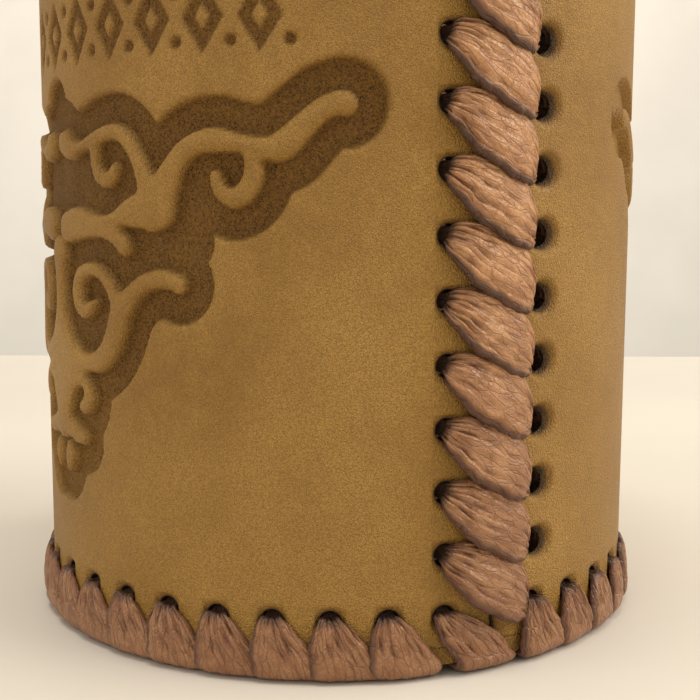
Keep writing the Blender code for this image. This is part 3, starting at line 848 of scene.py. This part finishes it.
def floor_pad(material):
    """The loose suede pad: a crowned round with a soft rolled edge and a slight unevenness."""
    radius, low, high = PAD_HIGH.x, PAD_LOW.z, PAD_HIGH.z
    roll = (high - low) / 2
    flat = np.linspace(0, 1, PAD_RINGS + 1)[1:] * (radius - roll)
    turn = np.linspace(0, math.pi, PAD_ROLL_STEPS + 1)[1:-1]
    reach = np.concatenate([flat, radius - roll + roll * np.sin(turn), flat[::-1]])
    rise = np.concatenate([np.full(PAD_RINGS, high), (low + high) / 2 + roll * np.cos(turn),
                           np.full(PAD_RINGS, low)])
    top = np.concatenate([np.ones(PAD_RINGS), np.clip(np.cos(turn), 0, 1), np.zeros(PAD_RINGS)])
    angle = np.arange(PAD_SIDES) * math.tau / PAD_SIDES
    x, y = reach[:, None] * np.sin(angle), -reach[:, None] * np.cos(angle)
    wave = np.sin(0.21 * x + 1) * np.sin(0.17 * y + 2) + 0.6 * np.sin(0.43 * x - 0.31 * y)
    crown = PAD_CROWN * (1 - (reach / radius) ** 2)[:, None]
    z = rise[:, None] + top[:, None] * (crown + PAD_WAVE * wave * (1 - (reach / radius) ** 4)[:, None])
    centres = np.array([[0, 0, high + PAD_CROWN], [0, 0, low]])
    points = np.vstack([np.stack([x, y, z], -1).reshape(-1, 3), centres]) * MM
    faces = tube_faces(len(reach), PAD_SIDES)
    last_ring = (len(reach) - 1) * PAD_SIDES
    for near in range(PAD_SIDES):
        far = (near + 1) % PAD_SIDES
        faces.append((len(points) - 2, near, far))
        faces.append((len(points) - 1, last_ring + far, last_ring + near))
    pad = make_mesh("floor_pad_suede", points, faces, [material])
    face_outward(pad)
    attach(pad, "root")
    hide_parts("floor_pad")


# ---- materials

SHEEN_ROUGHNESS = 0.6


def linear(red, green, blue):
    """A linear colour from the 0 to 255 values of a displayed one."""
    return tuple(((v / 255 + 0.055) / 1.055) ** 2.4 for v in (red, green, blue)) + (1.0,)


class Nodes:
    """A material's node tree, with short calls for the nodes that these leathers share.

    Sizes are in millimetres. paint and press add to the colour and the relief there so far.
    """

    def __init__(self, name, roughness, specular=0.5, sheen=0.0):
        self.material = bpy.data.materials.new(name)
        self.material.use_nodes = True
        self.tree = self.material.node_tree
        self.shader = self.tree.nodes["Principled BSDF"]
        self.feed(self.shader, {"Roughness": roughness, "Specular IOR Level": specular,
                                "Sheen Weight": sheen, "Sheen Roughness": SHEEN_ROUGHNESS})
        self.place = self.add("TexCoord").outputs["Object"]
        self.colour = None
        self.normal = None

    def feed(self, node, inputs):
        """Link a node's inputs to sockets, or set them to constants."""
        for key, value in inputs.items():
            if isinstance(value, bpy.types.NodeSocket):
                self.tree.links.new(value, node.inputs[key])
            else:
                node.inputs[key].default_value = value

    def add(self, kind, inputs=None, **settings):
        """A new shader node with its settings, and its inputs by name or number."""
        node = self.tree.nodes.new("ShaderNode" + kind)
        for key, value in settings.items():
            setattr(node, key, value)
        self.feed(node, inputs or {})
        return node

    def noise(self, size, detail=3.0, rough=0.55, distortion=0.0, stretch=None):
        """Noise with features of about the given size, from 0 to 1."""
        place = self.place
        if stretch:
            place = self.add("Mapping", {"Vector": place, "Scale": stretch}).outputs["Vector"]
        node = self.add("TexNoise", {"Vector": place, "Scale": 1 / (size * MM), "Detail": detail,
                                     "Roughness": rough, "Distortion": distortion})
        return node.outputs["Fac"]

    def warped(self, place, scale, reach):
        """Places pushed about by noise of the given scale."""
        wobble = self.add("TexNoise", {"Vector": place, "Scale": scale}).outputs["Color"]
        move = self.add("VectorMath", {0: wobble, 1: (reach,) * 3, 2: place}, operation="MULTIPLY_ADD")
        return move.outputs["Vector"]

    def cells(self, size, feature="F1", warp=0.0, warp_size=1.0):
        """Distance in a cell pattern with cells of about the given size."""
        place = self.warped(self.place, 1 / (warp_size * MM), warp * MM) if warp else self.place
        node = self.add("TexVoronoi", {"Vector": place, "Scale": 1 / (size * MM)}, feature=feature)
        return node.outputs["Distance"]

    def ramp(self, value, low, high, start=0.0, end=1.0):
        """The value carried smoothly from low..high to start..end."""
        node = self.add("MapRange", {"Value": value, "From Min": low, "From Max": high,
                                     "To Min": start, "To Max": end}, interpolation_type="SMOOTHSTEP")
        return node.outputs["Result"]

    def maths(self, operation, first, second):
        """A sum, product or the like of two values."""
        return self.add("Math", {0: first, 1: second}, operation=operation).outputs["Value"]

    def value(self, name):
        """A float value stored on the mesh's points."""
        return self.add("Attribute", attribute_name=name).outputs["Fac"]

    def height(self):
        """Height above the table, in metres."""
        return self.add("SeparateXYZ", {"Vector": self.place}).outputs["Z"]

    def paint(self, share, colour, under=None):
        """Lay a colour over the one so far, or over a first one.

        Inputs 0, 6 and 7 and output 2 of a mix node are those for colours.
        """
        node = self.add("Mix", {0: share, 6: under or self.colour, 7: colour}, data_type="RGBA")
        self.colour = node.outputs[2]

    def press(self, height, distance):
        """Add a bump of the given depth to the relief so far."""
        node = self.add("Bump", {"Height": height, "Distance": distance * MM})
        if self.normal is not None:
            self.feed(node, {"Normal": self.normal})
        self.normal = node.outputs["Normal"]

    def finish(self, roughness):
        """The material, with its colour, relief and roughness on the shader."""
        self.feed(self.shader, {"Base Color": self.colour, "Roughness": roughness,
                                "Normal": self.normal})
        return self.material


def grain_leather(name, light, dark, stain_colour):
    """Smooth vegetable-tanned leather: fine grain with painted shade in its crevices, mottling, pores,
    stained recesses, a darkened border strip, and painted shade round the holes, low down and on the
    emboss slopes.
    """
    nodes = Nodes(name, 0.5, specular=0.3)
    clouds = nodes.noise(22, detail=4)
    mottle = nodes.noise(2.4, detail=5, rough=0.65)
    fine = nodes.noise(0.3)
    # A darker brown for painted shade in the grain's crevices, towards the table and on the emboss
    # slopes; it also tints the stamped matting
    shade_and_matting_brown = tuple(0.72 * v for v in dark[:3]) + (1.0,)
    nodes.paint(nodes.ramp(clouds, 0.26, 0.78), light, under=dark)
    nodes.paint(nodes.ramp(mottle, 0.38, 0.7, 0.0, 0.35), light)
    pebbles = nodes.ramp(nodes.cells(0.23, warp=0.15, warp_size=0.8), 0.0, 0.75)
    # Painted shade in the crevices between the grain's pebbles, unevenly strong
    shade = nodes.ramp(fine, 0.35, 0.65, 0.25, 0.85)
    nodes.paint(nodes.maths("MULTIPLY", nodes.ramp(pebbles, 0.2, 0.9), shade), shade_and_matting_brown)
    pores = nodes.ramp(nodes.cells(0.55), 0.08, 0.22, 1.0, 0.0)
    pores = nodes.maths("MULTIPLY", pores, nodes.ramp(nodes.noise(3.0), 0.45, 0.7, 0.0, 0.55))
    nodes.paint(pores, stain_colour)
    marks = nodes.ramp(nodes.noise(0.9, detail=1, stretch=(1, 1, 0.25)), 0.68, 0.76, 0.0, 0.2)
    nodes.paint(marks, dark)
    # Painted shade: darker towards the table
    nodes.paint(nodes.ramp(nodes.height(), 5 * MM, 80 * MM, 0.2, 0.0), shade_and_matting_brown)
    # Painted shade round the holes' rims and in the pulled dimples, and a darkened strip along the
    # border: a mottled brown, then near black nearest the rims, the border and the dimples' middles
    hole_shade_and_edge_dark = nodes.value("hole_shade_and_edge_dark")
    nodes.paint(nodes.maths("MULTIPLY", hole_shade_and_edge_dark, nodes.ramp(mottle, 0.3, 0.7, 0.45, 0.85)), stain_colour)
    nodes.paint(nodes.ramp(hole_shade_and_edge_dark, 0.55, 1.0, 0.0, 0.75), linear(40, 25, 10))
    stain = nodes.value("stain")
    strength = nodes.maths("MULTIPLY", nodes.ramp(nodes.value("fade"), 0.0, 1.0, 0.5, 0.86),
                           nodes.ramp(nodes.noise(5.0, detail=4), 0.25, 0.7, 0.86, 1.0))
    soft = nodes.ramp(nodes.maths("ADD", stain, nodes.ramp(fine, 0.3, 0.7, -0.05, 0.05)), 0.15, 0.8)
    nodes.paint(nodes.maths("MULTIPLY", soft, strength), stain_colour)
    matting = nodes.ramp(nodes.cells(0.28, warp=0.15, warp_size=1.0), 0.1, 0.7)
    nodes.paint(nodes.maths("MULTIPLY", nodes.ramp(stain, 0.5, 1.0, 0.0, 0.26), matting), shade_and_matting_brown)
    # Painted shade on the emboss slopes, where the stained recess rises to the raised scrolls and border
    slope = nodes.maths("MULTIPLY", stain, nodes.maths("SUBTRACT", 1.0, stain))
    nodes.paint(nodes.ramp(slope, 0.06, 0.25, 0.0, 0.45), shade_and_matting_brown)
    nodes.press(nodes.maths("SUBTRACT", 1.0, pebbles), 0.13)
    nodes.press(fine, 0.10)
    nodes.press(nodes.noise(4.0), 0.12)
    nodes.press(nodes.maths("MULTIPLY", stain, matting), 0.12)
    uneven = nodes.ramp(mottle, 0.25, 0.75, 0.4, 0.52)
    return nodes.finish(nodes.maths("ADD", uneven, nodes.ramp(stain, 0.3, 0.9, 0.0, 0.35)))


def cut_edge(name, light, dark):
    """The cut, rubbed and polished edge of thick leather, in faint layers."""
    nodes = Nodes(name, 0.6, specular=0.35)
    layers = nodes.noise(0.45, detail=2)
    nodes.paint(nodes.ramp(layers, 0.3, 0.7), light, under=dark)
    nodes.press(nodes.noise(0.25), 0.08)
    nodes.press(layers, 0.12)
    return nodes.finish(nodes.ramp(layers, 0.2, 0.8, 0.55, 0.75))


def suede(name, light, dark, nap):
    """The napped flesh side of leather: short clumped fibres and cloudy shading."""
    nodes = Nodes(name, 0.9, specular=0.2, sheen=0.25)
    clouds = nodes.noise(9, detail=4, rough=0.6)
    fibres = nodes.noise(0.3, distortion=1.2)
    clumps = nodes.noise(1.3)
    nodes.paint(nodes.ramp(clouds, 0.3, 0.7), light, under=dark)
    nodes.paint(nodes.ramp(fibres, 0.35, 0.7, 0.0, 0.5), light)
    nodes.paint(nodes.ramp(clumps, 0.3, 0.55, 0.4, 0.0), dark)
    nodes.press(fibres, nap)
    nodes.press(clumps, 2 * nap)
    return nodes.finish(nodes.ramp(fibres, 0.2, 0.8, 0.8, 0.97))


def lace_leather(name):
    """Soft kid lace: crazed grain, painted highlight specks, painted shade in its folds and along its
    edges, and painted shade in its holes and low down.
    """
    nodes = Nodes(name, 0.5, specular=0.5, sheen=0.05)
    light, middle, craze_and_edge_shade = linear(197, 142, 91), linear(169, 115, 69), linear(114, 68, 30)
    fold, sheen_speck, edge = linear(104, 58, 28), linear(214, 162, 118), linear(66, 36, 18)
    low_shade, hole_shadow = linear(112, 68, 40), linear(48, 26, 14)
    across = nodes.value("across")
    clouds = nodes.noise(3.0, detail=4)
    nodes.paint(nodes.ramp(clouds, 0.32, 0.68), light, under=middle)
    strap = nodes.add("CombineXYZ", {"X": nodes.maths("MULTIPLY", across, 3.8),
                                     "Y": nodes.maths("MULTIPLY", nodes.value("along"), 0.32)})
    on_strap = nodes.warped(strap.outputs["Vector"], 1.1, 0.6)
    wrinkles = nodes.add("TexVoronoi", {"Vector": on_strap, "Scale": 1.15}, feature="DISTANCE_TO_EDGE")
    long_lines = nodes.ramp(wrinkles.outputs["Distance"], 0.0, 0.11, 1.0, 0.0)
    small = nodes.cells(0.6, "DISTANCE_TO_EDGE", warp=0.4, warp_size=0.9)
    craze = nodes.maths("MAXIMUM", long_lines, nodes.ramp(small, 0.0, 0.1, 0.4, 0.0))
    patches = nodes.ramp(nodes.noise(1.8), 0.35, 0.65, 0.06, 0.38)
    nodes.paint(nodes.maths("MULTIPLY", craze, patches), craze_and_edge_shade)
    # Painted shade in the fold grooves
    nodes.paint(nodes.ramp(nodes.value("crease"), 0.12, 0.8, 0.0, 0.82), fold)
    # Painted highlight: small pale sheen specks
    nodes.paint(nodes.ramp(nodes.noise(0.35, detail=2), 0.6, 0.75, 0.0, 0.4), sheen_speck)
    # Painted shade along both side edges, where the lace meets the wall and the stitch beside it
    nodes.paint(nodes.ramp(nodes.maths("ABSOLUTE", across, 0.0), 0.85, 0.98, 0.0, 0.75), craze_and_edge_shade)
    # Painted shade along the lace's low edge
    nodes.paint(nodes.ramp(across, -0.92, -0.72, 0.9, 0.0), edge)
    # Painted shade: darker towards the table, with a cloudy boundary
    height = nodes.maths("ADD", nodes.height(), nodes.ramp(clouds, 0.3, 0.7, -4 * MM, 4 * MM))
    nodes.paint(nodes.ramp(height, 4 * MM, 60 * MM, 0.5, 0.0), low_shade)
    nodes.paint(nodes.ramp(nodes.value("sunk"), 0.0, 1.0, 0.0, 0.85), hole_shadow)
    nodes.press(nodes.maths("SUBTRACT", 1.0, craze), 0.12)
    nodes.press(nodes.noise(0.3), 0.03)
    return nodes.finish(nodes.ramp(nodes.value("worked"), 0.0, 1.0, 0.5, 0.33))


# ---- the whole cup

stain_brown = linear(100, 65, 20)
tan_grain = grain_leather("tan_grain", linear(194, 149, 73), linear(153, 110, 43), stain_brown)
# Painted shade: near-black edge colours, so that the sides of the lace holes read as the holes' dark
# depths; the border's cut sides take the same colours
burnished_and_hole_shade = cut_edge("burnished_edge", linear(74, 45, 22), linear(30, 17, 8))
flesh = suede("flesh_side", linear(172, 130, 82), linear(132, 93, 52), 0.12)
sole = grain_leather("sole_leather", linear(186, 142, 72), linear(148, 106, 44), stain_brown)
lace_skin = lace_leather("lace_skin")
pad_nap = suede("pad_nap", linear(92, 58, 34), linear(58, 34, 18), 0.16)

panel_looks = [tan_grain, burnished_and_hole_shade, flesh]
wall_panel("wall_front_leather", "wall_panel_front", 0, True, panel_looks)
wall_panel("wall_rear_leather", "wall_panel_rear", HALF_ROUND, False, panel_looks)
base_disc([sole, burnished_and_hole_shade, flesh])
floor_pad(pad_nap)
seam_lace("seam_lacing_right", "seam_lace_right", HALF_ROUND / 2, SEED, lace_skin)
seam_lace("seam_lacing_left", "seam_lace_left", -HALF_ROUND / 2, SEED + 1, lace_skin)
edge_lace("base_lacing", "base_lace", base_stitch, BASE_ROW, 3.0, SEED + 2, lace_skin)
edge_lace("rim_lacing", "rim_lace", rim_stitch, RIM_ROW, -3.0, SEED + 3, lace_skin)


# ---- stage, lights and camera

CAMERA_AZIMUTH = math.radians(63.2)
CAMERA_DISTANCE = 176.4
CAMERA_HEIGHT = 56.6
CAMERA_YAW = math.radians(0.62)
CAMERA_PITCH = math.radians(-7.13)
CAMERA_ROLL = math.radians(0.19)
CAMERA_LENS = 60.8
SENSOR = 36.0
CLIP_START = 0.01
TABLE_REACH = 0.258
BACKDROP_DISTANCE = 1.5
STAGE_REACH = 3.0
WASH_HEIGHT = 0.9
WORLD_STRENGTH = 0.58
KEY_WHITE = (1.0, 0.97, 0.92)
FILL_WHITE = (1.0, 0.98, 0.95)
TOP_WHITE = (1.0, 0.99, 0.97)

sight = Vector((-math.sin(CAMERA_AZIMUTH), math.cos(CAMERA_AZIMUTH), 0))
aside = Vector((sight.y, -sight.x, 0))

camera_data = bpy.data.cameras.new("camera")
camera_data.sensor_width = SENSOR
camera_data.lens = CAMERA_LENS
camera_data.clip_start = CLIP_START
camera = linked("camera", camera_data)
ahead = (sight * math.cos(CAMERA_YAW) + aside * math.sin(CAMERA_YAW)) * math.cos(CAMERA_PITCH)
ahead.z = math.sin(CAMERA_PITCH)
level = ahead.cross(Vector((0, 0, 1))).normalized()
upright = level.cross(ahead)
across = level * math.cos(CAMERA_ROLL) + upright * math.sin(CAMERA_ROLL)
top = upright * math.cos(CAMERA_ROLL) - level * math.sin(CAMERA_ROLL)
turned = Matrix((across, top, -ahead)).transposed().to_4x4()
station_point = -sight * CAMERA_DISTANCE * MM + Vector((0, 0, CAMERA_HEIGHT * MM))
camera.matrix_world = Matrix.Translation(station_point) @ turned
bpy.context.scene.camera = camera


def on_stage(forward, sideways, up):
    """A place given as metres beyond the cup as the camera sees it, to its right, and up."""
    return sight * forward + aside * sideways + Vector((0, 0, up))


def plain(name, colour, roughness):
    """A plain matt surface with a barely uneven tone."""
    nodes = Nodes(name, roughness, specular=0.2)
    darker = tuple(0.94 * v for v in colour[:3]) + (1.0,)
    nodes.paint(nodes.ramp(nodes.noise(120), 0.3, 0.7), colour, under=darker)
    nodes.press(nodes.noise(2.0), 0.03)
    return nodes.finish(roughness)


def panel(name, corners, material):
    """A flat surface of the stage, from its corners' places on it."""
    places = np.array([on_stage(*corner) for corner in corners])
    item = make_mesh(name, places, [tuple(range(len(corners)))], [material])


def area_light(name, place, target, size, power, colour):
    """A soft square light at a place on the stage that looks at another one."""
    data = bpy.data.lights.new(name, "AREA")
    data.size = size
    data.energy = power
    data.color = colour
    light = linked(name, data)
    light.location = on_stage(*place)
    light.rotation_euler = (on_stage(*target) - light.location).to_track_quat("-Z", "Y").to_euler()


panel("floor", [(-STAGE_REACH, -STAGE_REACH, 0), (-STAGE_REACH, STAGE_REACH, 0),
                (TABLE_REACH, STAGE_REACH, 0), (TABLE_REACH, -STAGE_REACH, 0)],
      plain("pale_floor", linear(215, 205, 189), 0.6))
panel("backdrop", [(BACKDROP_DISTANCE, side * STAGE_REACH, up * STAGE_REACH)
                   for side, up in ((-1, -1), (1, -1), (1, 2), (-1, 2))],
      plain("pale_backdrop", linear(228, 219, 204), 0.9))

middle = (0, 0, CUP_HEIGHT / 2 * MM)
area_light("key", (-0.06, 0.78, 0.68), middle, size=0.8, power=8.9, colour=KEY_WHITE)
area_light("fill", (-0.5, -0.7, 0.5), middle, size=0.9, power=2.2, colour=FILL_WHITE)
area_light("overhead", (-0.1, -0.1, 1.1), middle, size=0.5, power=5.2, colour=TOP_WHITE)
area_light("backdrop_wash", (0.5, 0.0, WASH_HEIGHT), (BACKDROP_DISTANCE, 0, WASH_HEIGHT),
           size=1.0, power=12.0, colour=TOP_WHITE)

world = bpy.data.worlds.new("studio")
world.use_nodes = True
world.node_tree.nodes["Background"].inputs["Color"].default_value = (*FILL_WHITE, 1.0)
world.node_tree.nodes["Background"].inputs["Strength"].default_value = WORLD_STRENGTH
bpy.context.scene.world = world
bpy.context.scene.view_settings.view_transform = "Standard"
